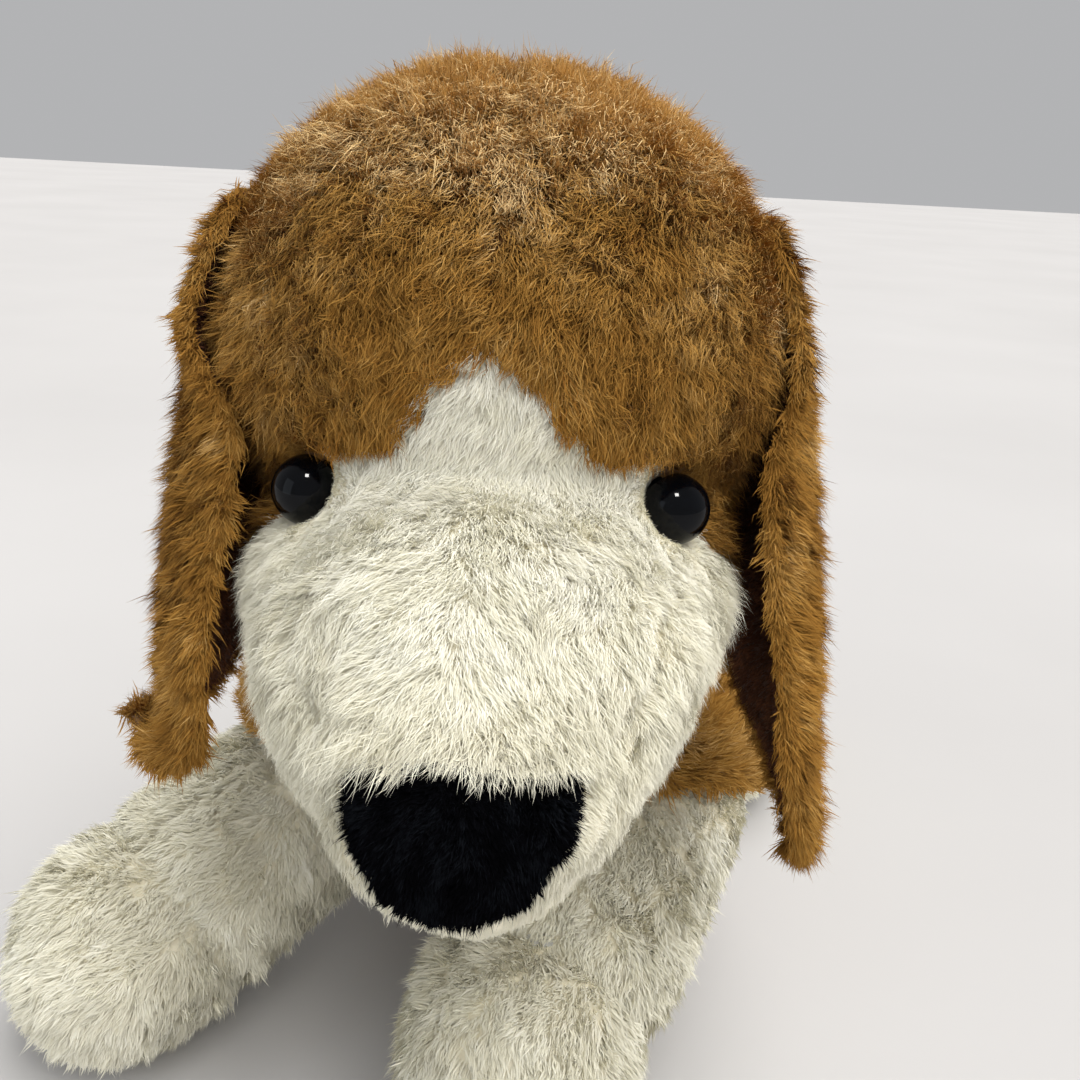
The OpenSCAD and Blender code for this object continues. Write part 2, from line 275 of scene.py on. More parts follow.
def cube_sphere(n):
    """Unit directions on a cube's n by n grids, and its quads."""
    t = np.tan(np.linspace(-1, 1, n + 1) * math.pi / 4)
    u, v = np.meshgrid(t, t, indexing="ij")
    one = np.ones_like(u)
    sides = [(one, u, v), (-one, v, u), (v, one, u), (u, -one, v), (u, v, one), (v, u, -one)]
    pts = np.concatenate([np.stack(s, -1).reshape(-1, 3) for s in sides])
    i, j = np.meshgrid(np.arange(n), np.arange(n), indexing="ij")
    k = (i * (n + 1) + j).ravel()
    quad = np.stack([k, k + n + 1, k + n + 2, k + 1], 1)
    quads = np.concatenate([quad + s * (n + 1) ** 2 for s in range(6)])
    _, first, back = np.unique(np.round(pts, 6), axis=0, return_index=True, return_inverse=True)
    return unit(pts[first]), back.ravel()[quads]


def shell(form, centre, stretch, n):
    """The surface of a form round a centre: out along each direction to where the form ends."""
    dirs, quads = cube_sphere(n)
    dirs = unit(dirs * np.array(stretch, float))
    c = np.array(centre, float)
    reach = 1.6 * max(stretch)
    steps = np.linspace(0, reach, 70)
    lo = np.zeros(len(dirs))
    open_ = np.ones(len(dirs), bool)
    for s0, s1 in zip(steps[:-1], steps[1:]):
        f = form(c + dirs * s1)
        hit = open_ & (f > 0)
        lo[hit] = s0
        open_ &= ~hit
    hi = lo + steps[1]
    for _ in range(14):
        mid = (lo + hi) / 2
        out = form(c + dirs * mid[:, None]) > 0
        hi = np.where(out, mid, hi)
        lo = np.where(out, lo, mid)
    pts = c + dirs * ((lo + hi) / 2)[:, None]
    a, b, d = pts[quads[:, 0]], pts[quads[:, 1]], pts[quads[:, 3]]
    facing = (np.cross(b - a, d - a) * (a - c)).sum(1)
    quads[facing < 0] = quads[facing < 0][:, ::-1]
    return pts, quads


def surface_net(form, lo, hi, step):
    """The surface of a form with hollows, as quads round a grid's crossed edges."""
    axes = [np.arange(a, b + step, step) for a, b in zip(lo, hi)]
    grid = np.stack(np.meshgrid(*axes, indexing="ij"), -1)
    f = form(grid.reshape(-1, 3)).reshape(grid.shape[:3])
    inside = f < 0
    cells = tuple(k - 1 for k in f.shape)
    total, hits = np.zeros(cells + (3,)), np.zeros(cells)
    crossed = []
    for axis in range(3):
        a = [slice(None)] * 3
        b = [slice(None)] * 3
        a[axis], b[axis] = slice(None, -1), slice(1, None)
        f0, f1 = f[tuple(a)], f[tuple(b)]
        cross = inside[tuple(a)] != inside[tuple(b)]
        t = np.where(cross, f0 / np.where(cross, f0 - f1, 1), 0)
        at = grid[tuple(a)] + t[..., None] * (grid[tuple(b)] - grid[tuple(a)])
        crossed.append((cross, inside[tuple(a)]))
        u, v = [k for k in range(3) if k != axis]
        for du in (0, 1):
            for dv in (0, 1):
                pick = [slice(None)] * 3
                pick[u] = slice(du, du + cells[u])
                pick[v] = slice(dv, dv + cells[v])
                c = cross[tuple(pick)]
                total[c] += at[tuple(pick)][c]
                hits += c
    used = hits > 0
    index = np.full(cells, -1)
    index[used] = np.arange(used.sum())
    pts = total[used] / hits[used][:, None]
    quads = []
    for axis, (cross, start_inside) in enumerate(crossed):
        u, v = (axis + 1) % 3, (axis + 2) % 3
        at = np.argwhere(cross)
        at = at[(at[:, u] > 0) & (at[:, v] > 0) & (at[:, u] < cells[u]) & (at[:, v] < cells[v])]
        du, dv = np.eye(3, dtype=int)[u], np.eye(3, dtype=int)[v]
        q = np.stack([index[tuple((at - o).T)] for o in (du + dv, dv, 0 * du, du)], 1)
        out = start_inside[tuple(at.T)]
        q[~out] = q[~out][:, ::-1]
        quads.append(q)
    return pts, np.concatenate(quads)


def triangles(quads):
    return np.concatenate([quads[:, [0, 1, 2]], quads[:, [0, 2, 3]]])


def vertex_normals(pts, tris):
    n = np.cross(pts[tris[:, 1]] - pts[tris[:, 0]], pts[tris[:, 2]] - pts[tris[:, 0]])
    out = np.zeros_like(pts)
    for k in range(3):
        np.add.at(out, tris[:, k], n)
    return unit(out)


def scatter(pts, tris, density, seed):
    """Random points spread evenly over triangles, with smooth normals."""
    r = np.random.default_rng(seed)
    a, b, c = pts[tris[:, 0]], pts[tris[:, 1]], pts[tris[:, 2]]
    area = np.linalg.norm(np.cross(b - a, c - a), axis=1) / 2
    count = int(area.sum() * density)
    pick = np.searchsorted(np.cumsum(area), r.random(count) * area.sum())
    pick = np.minimum(pick, len(tris) - 1)
    u, v = np.sqrt(r.random(count)), r.random(count)
    w = np.stack([1 - u, u * (1 - v), u * v], 1)[:, :, None]
    corner = tris[pick]
    normals = vertex_normals(pts, tris)
    return (pts[corner] * w).sum(1), unit((normals[corner] * w).sum(1))


def mesh_object(name, pts, faces):
    me = bpy.data.meshes.new(name)
    me.from_pydata((np.asarray(pts) * MM).tolist(), [], [list(map(int, f)) for f in faces])
    me.update()
    for poly in me.polygons:
        poly.use_smooth = True
    return add_object(name, me)


def thicken(ob, t):
    """Gives a sheet its thickness, inwards."""
    m = ob.modifiers.new("cloth", "SOLIDIFY")
    m.thickness = t * MM
    m.offset = -1
    m.use_even_offset = False
    dg = bpy.context.evaluated_depsgraph_get()
    me = bpy.data.meshes.new_from_object(ob.evaluated_get(dg), depsgraph=dg)
    ob.modifiers.clear()
    ob.data = me


def dress(ob, body, node, mat, t):
    """Makes a surface into a padded cloth skin that stands for a node."""
    ob.data.materials.append(mat)
    thicken(ob, t)
    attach(ob, body)
    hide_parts(node)


# ------------ materials

def material(name, color, rough=0.9, sheen=0.0, tint=(1, 1, 1), spec=0.3):
    m = bpy.data.materials.new(name)
    m.use_nodes = True
    values = {"Base Color": (*color, 1), "Roughness": rough, "Specular IOR Level": spec,
              "Sheen Weight": sheen, "Sheen Roughness": 0.4, "Sheen Tint": (*tint, 1)}
    for key, value in values.items():
        m.node_tree.nodes["Principled BSDF"].inputs[key].default_value = value
    return m


def mottled(name, dark, light, scale, rough=0.9, bump=0.0, bump_scale=None, weave=0.0, sheen=0.0, spec=0.3):
    """A cloth or plastic whose colour drifts between two tones, with a fine relief."""
    m = material(name, light, rough, sheen, spec=spec)
    add, link = m.node_tree.nodes.new, m.node_tree.links.new
    p = m.node_tree.nodes["Principled BSDF"]
    co = add("ShaderNodeTexCoord")
    noise = add("ShaderNodeTexNoise")
    noise.inputs["Scale"].default_value = scale
    noise.inputs["Detail"].default_value = 4.0
    link(co.outputs["Object"], noise.inputs["Vector"])
    ramp = add("ShaderNodeValToRGB")
    for stop, at, color in zip(ramp.color_ramp.elements, (0.32, 0.68), (dark, light)):
        stop.position = at
        stop.color = (*color, 1)
    link(noise.outputs["Fac"], ramp.inputs["Fac"])
    link(ramp.outputs["Color"], p.inputs["Base Color"])
    if bump:
        b = add("ShaderNodeBump")
        b.inputs["Strength"].default_value = bump
        b.inputs["Distance"].default_value = 0.0004
        fine = add("ShaderNodeTexWave" if weave else "ShaderNodeTexNoise")
        fine.inputs["Scale"].default_value = weave or bump_scale or scale * 8
        link(co.outputs["Object"], fine.inputs["Vector"])
        link(fine.outputs["Fac"], b.inputs["Height"])
        link(b.outputs["Normal"], p.inputs["Normal"])
    return m


def shades(name, root, tips, **kw):
    """A pile's materials: for each tone, a darker one for the roots and one for the tips."""
    out = []
    for k, tip in enumerate(tips):
        base = tuple((r + t) / 2 for r, t in zip(root, tip))
        out.append(material(f"{name}_root_{k}", base, **kw))
        out.append(material(f"{name}_tip_{k}", tip, **kw))
    return out


BROWNS = [(0.31, 0.150, 0.030), (0.39, 0.203, 0.045), (0.46, 0.258, 0.070), (0.55, 0.333, 0.115)]
# crown_pile's palest tone, paler than brown_pile's, is painted light on top of the head
BROWN_PILE, CROWN_PILE = (shades(name, (0.27, 0.125, 0.026), BROWNS + [palest], sheen=0.06,
                                 tint=(1.0, 0.85, 0.6), spec=0.03)
                          for name, palest in (("brown_pile", (0.63, 0.405, 0.165)),
                                               ("crown_pile", (0.80, 0.575, 0.280))))
ORANGE_PILE = shades("orange_pile", (0.24, 0.095, 0.015),
                     [(0.33, 0.145, 0.022), (0.42, 0.205, 0.040), (0.50, 0.270, 0.065)],
                     sheen=0.05, tint=(1.0, 0.8, 0.5), spec=0.15)
# the lining is a dark reddish brown, made darker still as painted shade for the gap between the ear and the
# head
LINING_PILE = shades("lining_pile", (0.040, 0.014, 0.007),
                     [(0.060, 0.022, 0.011), (0.090, 0.034, 0.016), (0.130, 0.052, 0.024)],
                     sheen=0.05, tint=(1.0, 0.75, 0.5), spec=0.15)
CREAM_PILE = shades("cream_pile", (0.94, 0.90, 0.745),
                    [(0.81, 0.78, 0.635), (0.875, 0.845, 0.70), (0.93, 0.905, 0.765), (0.968, 0.948, 0.83)],
                    rough=0.85, sheen=0.1, tint=(1.0, 0.98, 0.92), spec=0.05)
NOSE_PILE = shades("nose_pile", (0.0015, 0.0015, 0.002),
                   [(0.0015, 0.0015, 0.002), (0.0025, 0.0025, 0.0035), (0.006, 0.007, 0.009)],
                   spec=0.02)
CLOTH_BROWN = mottled("brown_backing", (0.17, 0.08, 0.024), (0.24, 0.125, 0.040), 90, bump=0.5, sheen=0.2)
CLOTH_CREAM = mottled("cream_backing", (0.86, 0.80, 0.62), (0.92, 0.87, 0.71), 80, bump=0.5, sheen=0.2)
# the lining's backing is a dark reddish brown, made darker still as painted shade for the gap between the ear
# and the head
CLOTH_LINING = mottled("lining_backing", (0.03, 0.011, 0.006), (0.05, 0.019, 0.010), 120, bump=0.4, sheen=0.2)
CLOTH_NOSE = mottled("nose_backing", (0.003, 0.003, 0.004), (0.009, 0.009, 0.011), 200, bump=0.4)
BROWN, WHITE = (CLOTH_BROWN, "brown_plush"), (CLOTH_CREAM, "cream_plush")


# ------------ pile

def pile(name, body, p, n, length, flow, lean, width, mats, tone, blades=5, spread=0.5, seed=1,
         tuft=2.4, tuft_pull=0.4, tuft_lean=0.17, wild=0.26, slot="brown_plush", curl=0.16, frizz=0.10,
         mottle=1.0):
    """Wisps of fine tapered fibres. p and n are the wisps' roots and normals, flow the way they lean.
    Wisps gather into soft tufts, and each tuft has its own lean, length and tone. The materials go
    from dark to pale, and a higher tone picks a paler one."""
    r = np.random.default_rng(seed)
    count = len(p)
    if not count:
        return
    width = width / math.sqrt(max(FUR, 0.3))      # wider when fewer are drawn
    length, width, lean = (np.broadcast_to(np.asarray(v, float), (count,)).copy()
                           for v in (length, width, lean))
    heads = r.choice(count, max(1, int(count * min(1, 0.45 / tuft ** 2))), replace=False)
    tree = search_tree(p[heads])
    near = np.array([tree.find(v)[1] for v in p.tolist()])
    own_lean = r.normal(0, tuft_lean, (len(heads), 3))[near]
    own_len = r.normal(1.0, 0.10, len(heads))[near]
    own_tone = r.normal(0, 0.35 * mottle, len(heads))[near]
    length *= np.clip(own_len * r.normal(1, 0.12, count), 0.55, 1.5)
    d = n + unit(across(n, flow) + 1e-6) * lean[:, None] + own_lean
    d = unit(d + r.normal(0, wild * 0.5, (count, 3)))
    d = np.where(((d * n).sum(1) < 0.2)[:, None], unit(d + n * 0.5), d)
    gather = across(n, p[heads[near]] - p) * (tuft_pull * 0.6 * np.clip(length / 5, 0, 1.2))[:, None]
    tip = p + d * length[:, None] + gather
    idx = np.repeat(np.arange(count), blades)
    m = len(idx)
    nn, size = n[idx], length[idx][:, None]
    off = across(nn, r.normal(0, spread, (m, 3)))
    root = p[idx] + off - nn * 0.35
    own = np.clip(r.normal(1, 0.19, m), 0.5, 1.5)[:, None]
    end = root + (tip[idx] + off * 0.6 - root) * own + r.normal(0, wild * 0.11, (m, 3)) * size
    mid = root + (end - root) * 0.5 + nn * size * curl + r.normal(0, frizz * 0.3, (m, 3)) * size
    for v in (root, mid, end):
        v[:, 2] = np.maximum(v[:, 2], 0.25)
    side = unit(np.cross(end - root, unit(nn + r.normal(0, 0.15, (m, 3)))))
    half = (width[idx] * r.uniform(0.7, 1.3, m))[:, None] * 0.5
    blade = np.stack([root - side * half, root + side * half, mid + side * half * 0.85,
                      mid - side * half * 0.85, end], 1)
    # soft shading: a blade that lies flat takes half of the cloth's own normal
    face = unit(np.cross(side, end - root))
    flat = np.clip((face * nn).sum(1, keepdims=True) * 1.5, 0, 1)
    shade = np.repeat(unit(face + nn * flat), 5, 0).reshape(m, 5, 3)
    level = np.floor(tone[idx] + own_tone[idx] + r.normal(0, 0.5 * mottle, m) + len(mats) / 4)
    level = np.clip(level, 0, len(mats) // 2 - 1).astype(np.int32)
    parts = max(1, math.ceil(m / MOST_BLADES))
    for k in range(parts):
        lo, hi = m * k // parts, m * (k + 1) // parts
        b = hi - lo
        me = bpy.data.meshes.new(name)
        me.vertices.add(5 * b)
        me.vertices.foreach_set("co", (blade[lo:hi] * MM).astype(np.float32).ravel())
        me.loops.add(7 * b)
        corners = (np.arange(b) * 5)[:, None] + np.array([0, 1, 2, 3, 3, 2, 4])
        me.loops.foreach_set("vertex_index", corners.astype(np.int32).ravel())
        me.polygons.add(2 * b)
        starts = (np.arange(b) * 7)[:, None] + np.array([0, 4])
        me.polygons.foreach_set("loop_start", starts.astype(np.int32).ravel())
        for mt in mats:
            me.materials.append(mt)
        slots = np.stack([level[lo:hi] * 2, level[lo:hi] * 2 + 1], 1)
        me.polygons.foreach_set("material_index", slots.astype(np.int32).ravel())
        me.update(calc_edges=True)
        normals = me.attributes.new("custom_normal", "FLOAT_VECTOR", "POINT")
        normals.data.foreach_set("vector", shade[lo:hi].astype(np.float32).ravel())
        ob = add_object(f"{name}_{k + 1}" if parts > 1 else name, me)
        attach(ob, body)


DRIFT = [Waves(s, 26) for s in (101, 102, 103)]
SWIRL = [Waves(s, 11) for s in (111, 112, 113)]
TONE = Waves(121, 17)
TONE2 = Waves(122, 6)


def drift(p, amount, swirl):
    """Slow and quick wandering of the pile's direction."""
    a = np.stack([w(p) for w in DRIFT], 1) * amount
    b = np.stack([w(p) for w in SWIRL], 1) * swirl
    size = np.linalg.norm(a + b, axis=1, keepdims=True)
    return (a + b) * np.minimum(1, 0.6 / np.maximum(size, 1e-6))


# ------------ head

# Outlines of the cloth pieces in the head's own frame: x and z from the front, y and z from the side.
HALF_GUSSET = [(0, 4.5), (7, 0.7), (10, -5.5), (15, -10), (26, -14), (28, -28), (24, -35.4),
               (20.7, -38), (15.7, -44), (13, -60)]
GUSSET = HALF_GUSSET + [(-x, z) for x, z in HALF_GUSSET[:0:-1]]
CREAM = [(-60, -15.5), (-38, -15.5), (-30, -30), (-18, -44), (-8, -58), (4, -90), (-110, -90),
         (-110, -15.5)]
NOSE = [(-15, -41.5), (0, -39), (15, -41.5), (14, -48), (9, -56), (3, -60), (-3, -60), (-9, -56),
        (-14, -48)]
CHIN_Z = -58
CROWN_LEFT, CROWN_RIGHT, BLAZE, CHEEK_LEFT, CHEEK_RIGHT, CHIN, NOSE_TIP = range(7)
# Bare folds of cloth on the left of the muzzle, seen from the front.
FOLDS = [[(17.6, -50), (18.8, -46.5), (21.2, -43.4), (22.6, -40.5)],
         [(20.0, -38.8), (22.4, -36), (24.6, -34.6), (25.8, -31.5), (25.2, -29)]]


def fold_distance(h):
    d = np.min([line_distance(h[:, [0, 2]], f) for f in FOLDS], 0)
    return np.where(h[:, 1] < -45, d, 50.0)


def head_fields(p):
    """Signed distances to the head's cloth regions, in the head's own frame: negative inside."""
    h = p - HEAD
    gusset = np.maximum(polygon_distance(h[:, [0, 2]], GUSSET), h[:, 1] + 20)
    cream = polygon_distance(h[:, [1, 2]], CREAM)
    nose = np.maximum(polygon_distance(h[:, [0, 2]], NOSE), h[:, 1] + 80)
    return h, gusset, cream, nose


def head_region(p, wobble=0.0):
    """The region of the head that each point is in."""
    h, gusset, cream, nose = head_fields(p)
    left = h[:, 0] >= 0
    out = np.where(left, CROWN_LEFT, CROWN_RIGHT)
    lower = np.where(h[:, 2] < CHIN_Z, CHIN, np.where(left, CHEEK_LEFT, CHEEK_RIGHT))
    out = np.where(cream + wobble < 0, lower, out)
    out = np.where(gusset + wobble < 0, BLAZE, out)
    return np.where(nose + wobble * 0.3 < 0, NOSE_TIP, out)


def seam_distance(p):
    """Distance to the nearest seam of the head."""
    h, gusset, cream, _ = head_fields(p)
    front = h[:, 1] < -20
    d = np.where(front, np.abs(polygon_distance(h[:, [0, 2]], GUSSET)), 50.0)
    outside = gusset > 0
    d = np.where(outside, np.minimum(d, np.abs(cream)), d)
    d = np.where(outside & (cream > 0), np.minimum(d, np.abs(h[:, 0])), d)
    return np.where(outside & (cream < 0), np.minimum(d, np.abs(h[:, 2] - CHIN_Z)), d)


def bisect(bm, faces, co, no):
    """Cuts the chosen faces, with their edges and corners, along a plane."""
    geom = faces + list({e for f in faces for e in f.edges}) + list({v for f in faces for v in f.verts})
    if geom:
        bmesh.ops.bisect_plane(bm, geom=geom, dist=1e-6, plane_co=co, plane_no=no)


def cut_along(bm, outline, plane, limit=None):
    """Cuts the mesh where an outline, drawn in plane 'xz' or 'yz', passes through it."""
    pts = [Vector(q) for q in outline]
    for a, b in zip(pts, pts[1:] + pts[:1]):
        e = b - a
        if e.length < 1e-6:
            continue
        n2 = Vector((e.y, -e.x)).normalized()
        if plane == "xz":
            co = Vector((HEAD[0] + a.x, 0, HEAD[2] + a.y)) * MM
            no = Vector((n2.x, 0, n2.y))
        else:
            co = Vector((0, HEAD[1] + a.x, HEAD[2] + a.y)) * MM
            no = Vector((0, n2.x, n2.y))
        lo, hi = min(a.x, b.x) - 2.5, max(a.x, b.x) + 2.5
        zlo, zhi = min(a.y, b.y) - 2.5, max(a.y, b.y) + 2.5
        near = []
        for f in bm.faces:
            c = f.calc_center_median() / MM
            u = c.x - HEAD[0] if plane == "xz" else c.y - HEAD[1]
            z = c.z - HEAD[2]
            if lo <= u <= hi and zlo <= z <= zhi and (limit is None or limit(c)):
                near.append(f)
        bisect(bm, near, co, no)


def head_mesh():
    centre = HEAD + np.array([0, -24, -20])
    pts, quads = shell(head_form, centre, (50, 66, 52), 60)
    n = vertex_normals(pts, triangles(quads))
    h = pts - HEAD
    groove = 0.8 * bell(seam_distance(pts), 1.6) - bell(fold_distance(h), 1.1)
    groove = groove + 1.1 * bell(fold_distance(h - np.array([2.2, 0, -0.8])), 1.2)
    lumps = 0.5 * Waves(201, 24)(pts) + 0.25 * Waves(202, 10)(pts)
    inside_neck = ball(pts, NECK, NECK_R + GAP + 2) < 0
    pts = pts - n * np.where(inside_neck, 0, groove - lumps * 0.8)[:, None]
    for eye in EYES:            # the cloth dips under each eye
        d = np.linalg.norm(pts - (HEAD + eye), axis=1)
        pts = pts - n * (3.9 * np.exp(-(d / 5.6) ** 4))[:, None]
    return pts, quads


HEAD_PTS, HEAD_QUADS = head_mesh()
# for each region of the head: its node, its cloth and its slot
REGIONS = [("crown_left", *BROWN), ("crown_right", *BROWN), ("blaze_gusset", *WHITE),
           ("cheek_left", *WHITE), ("cheek_right", *WHITE), ("chin_panel", *WHITE),
           ("nose_patch", CLOTH_NOSE, "nose_plush")]


def head_panels():
    me = bpy.data.meshes.new("head_cut")
    me.from_pydata((HEAD_PTS * MM).tolist(), [], HEAD_QUADS.tolist())
    bm = bmesh.new()
    bm.from_mesh(me)
    cut_along(bm, GUSSET, "xz", lambda c: c.y - HEAD[1] < -15)
    cut_along(bm, CREAM, "yz")
    cut_along(bm, NOSE, "xz", lambda c: c.y - HEAD[1] < -76)
    bisect(bm, bm.faces[:], Vector((HEAD[0] * MM, 0, 0)), Vector((1, 0, 0)))
    chin = [f for f in bm.faces if f.calc_center_median().y / MM - HEAD[1] < 6]
    bisect(bm, chin, Vector((0, 0, (HEAD[2] + CHIN_Z) * MM)), Vector((0, 0, 1)))
    bm.to_mesh(me)
    bm.free()
    co = np.array([v.co for v in me.vertices]) / MM
    faces = [tuple(f.vertices) for f in me.polygons]
    mid = np.array([f.center for f in me.polygons]) / MM
    region = head_region(mid)
    for k, (node, mat, slot) in enumerate(REGIONS):
        chosen = [f for f, g in zip(faces, region) if g == k]
        used = sorted({v for f in chosen for v in f})
        index = {v: i for i, v in enumerate(used)}
        ob = mesh_object("skin_" + node, co[used], [[index[v] for v in f] for f in chosen])
        if k == NOSE_TIP:
            ob.data.transform(Matrix.Translation((0, -0.0006, 0)))
        dress(ob, "head", node, mat, 1.0 if k == NOSE_TIP else SKIN_T)
    bpy.data.meshes.remove(me)


head_panels()

HEAD_TRIS = triangles(HEAD_QUADS)
BROWN_FLOW = np.array([0.0, -0.85, -0.75])
CREAM_FLOW = np.array([-0.12, -0.35, -1.0])
HEAD_SHAG = dict(tuft=2.6, wild=0.7, frizz=0.45)
HEAD_WOOL = dict(tuft=2.2, wild=0.5, frizz=0.33, mottle=0.4)


def near_neck(p):
    """1 beside the neck's joint, falling off over a few millimetres."""
    return bell(np.maximum(ball(p, NECK, NECK_R + GAP + 1), 0), 5.0)


def head_flow(p, n, h, brown):
    """The way the pile leans: down the face, off the eyes and the seams, and towards the neck."""
    aside = np.abs(h[:, 0])
    flow = np.where(brown[:, None], BROWN_FLOW, CREAM_FLOW)
    flow[:, 2] -= 0.6 * smooth(25, 45, aside) * brown
    flow[:, 0] += np.sign(h[:, 0]) * 0.3 * smooth(18, 42, aside) * (h[:, 1] < 0)
    flow = unit(across(n, flow)) + drift(p, 0.36, 0.42)
    for eye in EYES:
        d = h - eye
        near = bell(np.maximum(np.linalg.norm(d, axis=1) - EYE_R, 0), 4.0)
        flow += unit(d) * near[:, None] * 3.2
    seam = seam_distance(p)
    grad = np.stack([seam_distance(p + dv) - seam for dv in np.eye(3) * 0.5], 1)
    flow += unit(grad) * bell(seam, 1.8)[:, None] * 0.5
    return flow + unit(NECK - p) * near_neck(p)[:, None] * 1.6


def head_length(p, h, reg, top, eyes):
    """Short low on the muzzle, at the eyes, the seams and the folds, and long round the neck."""
    brown = reg <= CROWN_RIGHT
    length = np.select([brown, reg == CHIN], [4.2, 3.2], 3.7) + 0.4 * top
    length = np.where((reg == CHIN) & (h[:, 1] < -60), 1.8, length)
    length = length * (1 - 0.5 * smooth(-36, -52, h[:, 2]) * ~brown)
    length = length + 1.3 * brown * smooth(34, 41, np.abs(h[:, 0])) * smooth(10, 0, h[:, 2])
    length = length + 3.5 * near_neck(p)
    length = length * (1 - 0.2 * bell(seam_distance(p), 1.8)) * np.clip(0.1 + (eyes - EYE_R) / 7.0, 0.2, 1)
    return length * (1 - 0.75 * bell(fold_distance(h), 1.3))


def head_tone_and_painted_light(p, h, brown, top):
    """Random tone with painted light and shade. Brown is paler on top and at the sides, as painted light from
    above, darker low down, and much darker low at the sides, as painted shade in the gap by the ears. Cream
    is paler up the blaze and low on the left (+x) cheek, as painted light, and darker low and on the right
    (-x) cheek, as painted shade; it is also paler along the folds.
    """
    aside = np.abs(h[:, 0])
    tone = 0.60 * TONE(p) + 0.40 * TONE2(p)
    # painted light and shade on the brown: paler on top and at the sides, darker low down
    tone = tone + brown * (3.5 * top - 1.1 - 0.5 * smooth(12, -14, h[:, 2]) + 0.8 * smooth(20, 44, aside))
    # painted shade: the brown is much darker low at the sides, in the gap between the head and the ears
    tone = tone - brown * 3.0 * smooth(36, 43, aside) * smooth(2, -10, h[:, 2])
    # painted light and shade on the cream: paler up the blaze and low on the +x cheek, darker low and on the
    # -x cheek; paler along the folds
    return tone + ~brown * (0.9 * bell(fold_distance(h), 1.5) + 2.6 * smooth(-42, -24, h[:, 2]) - 1.4
                            - 0.9 * smooth(16, 36, -h[:, 0])
                            + smooth(14, 30, h[:, 0]) * smooth(-30, -50, h[:, 2]))


def head_pile():
    p, n = scatter(HEAD_PTS, HEAD_TRIS, 3.7 * FUR, 301)
    h = p - HEAD
    reg = head_region(p, 0.8 * TONE2(p) + RNG.normal(0, 0.35, len(p)) - 0.9)
    keep = ball(p, NECK, NECK_R + GAP + 1.0) > 0
    # thinner pile at the back of the head and under the chin
    dens = np.where(reg <= CROWN_RIGHT, np.where(h[:, 1] < 14, 0.78, 0.34), 1.0)
    dens = np.where(reg == CHIN, 0.45, dens)
    dens = np.where(reg == NOSE_TIP, 0.0, dens)
    eyes = np.min([np.linalg.norm(h - eye, axis=1) for eye in EYES], 0)
    keep &= (RNG.random(len(p)) < dens) & (eyes > EYE_R + 0.7)
    p, n, h, reg, eyes = p[keep], n[keep], h[keep], reg[keep], eyes[keep]
    brown = reg <= CROWN_RIGHT
    top = smooth(16, 42, h[:, 2]) * brown
    flow = head_flow(p, n, h, brown)
    length = head_length(p, h, reg, top, eyes)
    tone = head_tone_and_painted_light(p, h, brown, top)
    lean = np.where(brown, 1.25, 2.0) - 0.45 * top
    # hairs that hang over the nose's top edge, with one long tuft
    over = (reg == BLAZE) & (h[:, 2] < -33.5) & (h[:, 2] > -43) & (h[:, 1] < -78)
    tuft = over & (np.abs(h[:, 0] + 10.7) < 1.4) & (h[:, 2] < -37)
    length = np.where(over, 4.0 + 1.3 * smooth(4, -8, h[:, 0]), length)
    length = np.where(tuft, 7.8, length)
    flow[over] = unit(flow[over]) * 0.5 + np.array([0.0, -0.12, -1.0])
    lean = np.where(over, 1.5, lean)
    width = np.where(brown, 0.16, 0.12) * np.where(h[:, 1] > 14, 2.0, 1.0)
    gusset = head_fields(p)[1]
    fringe = brown & (h[:, 1] < -20) & (RNG.random(len(p)) < 0.55 * bell(gusset, 3.0))
    for k, (node, _, slot) in enumerate(REGIONS):
        if k == NOSE_TIP:
            continue
        crown = k <= CROWN_RIGHT
        look = HEAD_SHAG if crown else HEAD_WOOL
        for part, chosen, mats in (("", ~fringe, CROWN_PILE if crown else CREAM_PILE),
                                   ("_fringe", fringe, ORANGE_PILE)):
            q = (reg == k) & chosen
            pile("pile_" + node + part, "head", p[q], n[q], length[q], flow[q], lean[q], width[q],
                 mats, tone[q], seed=310 + k + 40 * len(part), slot=slot, tuft_pull=0.5, tuft_lean=0.24,
                 blades=6, **look)


def nose_pile():
    p, n = scatter(HEAD_PTS, HEAD_TRIS, 14 * FUR, 302)
    keep = head_fields(p)[3] < 0.25
    p, n = p[keep] + np.array([0, -0.6, 0]), n[keep]
    flow = np.tile([0.0, -0.4, -0.7], (len(p), 1)) + drift(p, 0.3, 0.5)
    pile("pile_nose_patch", "head", p, n, 1.6, flow, 0.6, 0.15, NOSE_PILE, TONE2(p) * 0.5, seed=330,
         slot="nose_plush", tuft=1.3, tuft_pull=0.3, spread=0.22, wild=0.3, blades=4)


head_pile()
nose_pile()


# ------------ ears

EAR_SEAM = [(44.5, 23), (48.8, 11), (50.8, 0), (54, -25), (56.5, -60)]
CURL_R = 7.0
CURL = [(57 + CURL_R + CURL_R * math.cos(a), CURL_R * math.sin(a) - 70)
        for a in np.radians(np.arange(180, 331, 15))]
EAR_ROWS, EAR_COLUMNS = 64, 23


